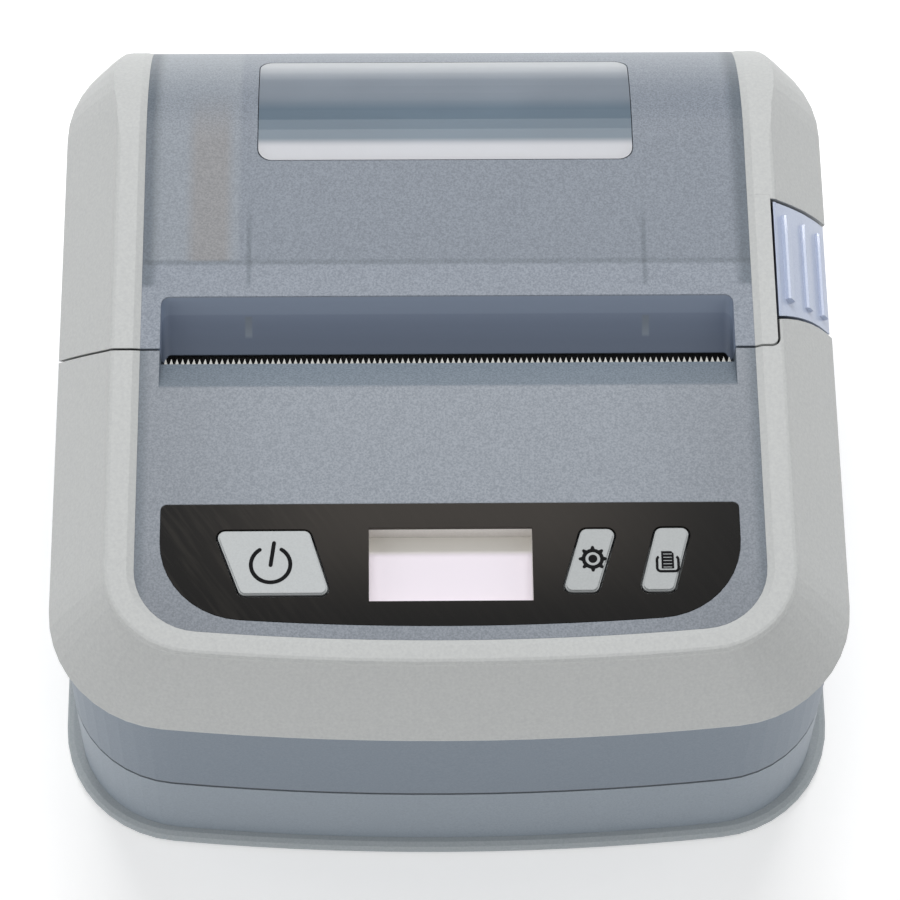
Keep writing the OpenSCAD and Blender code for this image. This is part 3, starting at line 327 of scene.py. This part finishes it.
finish_of = {
    grey_abs: ["front_bumper", "lid_rail_left", "lid_rail_right", "lid_ledge_right"],
    flake_paint: ["front_panel"],
    smoke_pc: ["lid_shell"],
    case_abs: ["upper_case", "paper_tray"],
    skirt_abs: ["lower_case", "battery_door"],
    rim_tpe: ["bottom_bumper", "port_cover"],
    button_abs: ["power_button", "settings_button", "feed_button"],
    latch_pc: ["latch_button"],
    inner_nylon: ["platen_frame", "latch_guide", "guide_left", "guide_right", "rack_left",
                  "rack_right"],
    acetal: ["idler_gear", "platen_gear", "guide_pinion", "platen_bushes", "head_cable"],
    platen_rubber: ["platen_roller"],
    black_nylon: ["charge_jack", "media_sensor", "cover_switch"],
    solder_mask: ["control_board", "main_board", "io_board"],
    shrink_film: ["battery_pack"],
    glazed_alumina: ["thermal_head"],
    cream_pc: ["display_bezel"],
    bright_steel: ["tear_bar"],
    zinc_steel: ["display_module", "head_springs", "print_chassis", "drive_motor", "usb_port",
                 "latch_spring", "hinge_pins", "lid_spring", "case_screws", "chassis_screws",
                 "lid_catch", "platen_shaft", "tact_switches"],
    extruded_aluminium: ["head_heatsink"],
    turned_brass: ["motor_pinion", "battery_contacts"],
    film_black: ["control_overlay"],
    window_clear: ["lid_window"],
    display_lilac: ["display_lens"],
}
for material, members in finish_of.items():
    for member in members:
        mesh = nodes[member].data
        mesh.materials.clear()
        mesh.materials.append(material)
        mesh.shade_smooth()
        mesh.set_sharp_from_angle(angle=math.radians(SHARP_DEGREES))


def mark(name, outlines, z_mm, body, at):
    """A printed mark on a button: thin flat shapes, given as outlines in mm round its middle."""
    mesh = bpy.data.meshes.new(name)
    shape = bmesh.new()
    for outline in outlines:
        ring = [shape.verts.new(((at[0] + x) * MM, (at[1] + y) * MM, z_mm * MM))
                for x, y in outline]
        face = shape.faces.new(ring)
        lifted = bmesh.ops.extrude_face_region(shape, geom=[face])
        raised = [v for v in lifted["geom"] if isinstance(v, bmesh.types.BMVert)]
        bmesh.ops.translate(shape, verts=raised, vec=(0, 0, INK_MM * MM))
    bmesh.ops.recalc_face_normals(shape, faces=shape.faces)
    shape.to_mesh(mesh)
    shape.free()
    mesh.materials.append(mark_ink)
    piece = bpy.data.objects.new(name, mesh)
    bpy.context.scene.collection.objects.link(piece)
    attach(piece, body)


def arc(radius, start, end, steps):
    """Points of an arc, in degrees from +X."""
    turns = [math.radians(start + (end - start) * i / steps) for i in range(steps + 1)]
    return [(radius * math.cos(t), radius * math.sin(t)) for t in turns]


def stroke_arc(inner, outer, start, end, steps):
    """Outlines of a curved stroke, cut in quads so that each one is convex."""
    a, b = arc(inner, start, end, steps), arc(outer, start, end, steps)
    return [[a[i], b[i], b[i + 1], a[i + 1]] for i in range(steps)]


def stroke_bar(x0, y0, x1, y1, width):
    """Outline of a straight stroke with round ends."""
    turn = math.degrees(math.atan2(y1 - y0, x1 - x0))
    ends = [(x1 + x, y1 + y) for x, y in arc(width / 2, turn - 90, turn + 90, 8)]
    return [ends + [(x0 + x, y0 + y) for x, y in arc(width / 2, turn + 90, turn + 270, 8)]]


def oblong(x0, y0, x1, y1):
    """Outline of a rectangle."""
    return [(x0, y0), (x1, y0), (x1, y1), (x0, y1)]


def power_mark():
    """Ring with a gap at the top and a leaning bar in it."""
    ring = stroke_arc(2.45, 3.0, 124, 417, 40)
    middle, half_width = 2.725, 0.275
    caps = []
    for turn, start in ((124, -56), (57, 57)):
        x_end = middle * math.cos(math.radians(turn))
        y_end = middle * math.sin(math.radians(turn))
        caps.append([(x_end + x, y_end + y)
                     for x, y in arc(half_width, start, start + 180, 10)])
    return ring + caps + stroke_bar(0.0, -0.1, 0.45, 3.3, 0.55)


def gear_mark():
    """Toothed ring round a dot."""
    tooth = [(1.5104, -0.3004), (1.9, -0.17), (1.98, 0), (1.9, 0.17), (1.5104, 0.3004), (1.54, 0)]
    teeth = []
    for i in range(8):
        c, s = math.cos(math.radians(i * 45)), math.sin(math.radians(i * 45))
        teeth.append([(x * c - y * s, x * s + y * c) for x, y in tooth])
    return stroke_arc(1.02, 1.54, 0, 360, 32) + teeth + [arc(0.62, 0, 345, 23)]


def page_mark():
    """Lined page with a cut corner, standing in a tray."""
    side, line, pitch = 0.86, 0.36, 0.5
    strips = []
    for i in range(5):
        top = 1.5 - i * pitch
        right = 0.5 if i == 0 else side
        strips.append([(-side, top - line), (side, top - line), (right, top), (-side, top)])
        strips += [oblong(x, top - pitch, x + 0.26, top - line) for x in (-side, 0.6)]
    strips.append(oblong(-side, -1.15, side, -1.0))
    inner, outer, bend_x, low, high = 0.34, 0.7, 0.96, -1.05, 0.2
    corners = [[(sign * (x - bend_x), y + low) for x, y in quad]
               for sign in (1, -1) for quad in stroke_arc(inner, outer, 180, 270, 8)]
    hooks = [[(sign * (x - bend_x), high - y) for x, y in quad]
             for sign in (1, -1) for quad in stroke_arc(inner, outer, 180, 240, 6)]
    bars = [oblong(-1.66, low, -1.3, high), oblong(1.3, low, 1.66, high),
            oblong(-bend_x, -1.75, bend_x, -1.39)]
    return strips + corners + hooks + bars


cap_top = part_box("power_button")[1].z / MM
mark("power_mark", power_mark(), cap_top, "power_key", (-24.9, -38.05))
mark("gear_mark", gear_mark(), cap_top, "settings_key", (19.65, -37.45))
mark("page_mark", page_mark(), cap_top, "feed_key", (30.0, -37.85))


def softbox(name, place, size, watts):
    """A flat lamp over the object, turned towards its middle."""
    data = bpy.data.lights.new(name, "AREA")
    data.shape = "RECTANGLE"
    data.size, data.size_y = size
    data.energy = watts
    lamp = bpy.data.objects.new(name, data)
    lamp.location = place
    middle = Vector((0, 0, 30 * MM))
    lamp.rotation_euler = (middle - lamp.location).to_track_quat("-Z", "Y").to_euler()
    bpy.context.scene.collection.objects.link(lamp)


# Places and sizes in metres. The rear lamp makes the sheen on the deck and the window.
softbox("lamp_back", (0, 0.82, 1.15), (0.9, 0.27), 11.4)
softbox("lamp_left", (-1.0, 0.1, 0.9), (0.8, 0.8), 1.85)
softbox("lamp_right", (1.0, 0.1, 0.9), (0.8, 0.8), 1.55)
softbox("lamp_front", (0, -1.3, 0.22), (1.6, 0.4), 3.3)
softbox("lamp_front_left", (-1.1, -0.8, 0.25), (0.8, 0.4), 1.2)


def seen_directly(tree):
    """1 for rays of the camera, also by a reflection or through a pane, and 0 for light."""
    path = add(tree, "LightPath")
    seen = path.outputs["Is Camera Ray"]
    for ray in ("Is Glossy Ray", "Is Transmission Ray"):
        seen = add(tree, "Math", {0: seen, 1: path.outputs[ray]}, operation="MAXIMUM").outputs[0]
    return seen


def surround():
    """A white world round the object, which lights it at a lower level."""
    world = bpy.data.worlds.new("studio_world")
    bpy.context.scene.world = world
    world.use_nodes = True
    tree = world.node_tree
    tree.nodes.clear()
    lighting, white = 0.37, 1
    strength = add(tree, "MapRange", {"Value": seen_directly(tree), "To Min": lighting,
                                      "To Max": white})
    light = add(tree, "Background", {"Color": linear("ffffff"), "Strength": strength.outputs[0]})
    add(tree, "OutputWorld", {"Surface": light.outputs[0]})


def paper_floor():
    """Pale paper, lifted towards white where it is seen, so that it keeps the shadow."""
    material, tree, shader, place = blank("paper_backdrop")
    fibre_mm, lift_to_white, half_width = 2, 0.35, 3
    fibres = add(tree, "TexNoise", {"Vector": place, "Scale": 1 / (fibre_mm * MM)})
    set_colour(tree, shader, "f6f6f6", "fafafa", fibres.outputs["Fac"])
    settle(shader, {"Roughness": 0.9, "Emission Color": linear("ffffff")})
    lift = add(tree, "Math", {0: seen_directly(tree), 1: lift_to_white}, operation="MULTIPLY")
    tree.links.new(lift.outputs[0], shader.inputs["Emission Strength"])
    mesh = bpy.data.meshes.new("floor")
    shape = bmesh.new()
    bmesh.ops.create_grid(shape, x_segments=1, y_segments=1, size=half_width)
    shape.to_mesh(mesh)
    shape.free()
    mesh.materials.append(material)
    floor = bpy.data.objects.new("floor", mesh)
    bpy.context.scene.collection.objects.link(floor)


def camera():
    """The photograph's viewpoint: 53 cm above the table, in front, looking steeply down."""
    down, turn, roll = (math.radians(degrees) for degrees in (62.5, 1.8787, 1.3611))
    ahead = Vector((math.sin(turn) * math.cos(down), math.cos(turn) * math.cos(down),
                    -math.sin(down)))
    level = Vector((math.cos(turn), -math.sin(turn), 0))
    over = level.cross(ahead)
    right = level * math.cos(roll) + over * math.sin(roll)
    up = over * math.cos(roll) - level * math.sin(roll)
    data = bpy.data.cameras.new("camera")
    data.sensor_width = 36
    data.lens = 153.935
    data.clip_start = 0.01
    view = bpy.data.objects.new("camera", data)
    view.matrix_world = Matrix((right, up, -ahead)).transposed().to_4x4()
    view.location = (-8.086 * MM, -269.563 * MM, 534.303 * MM)
    bpy.context.scene.collection.objects.link(view)
    bpy.context.scene.camera = view


surround()
paper_floor()
camera()
bpy.context.scene.view_settings.view_transform = "Standard"
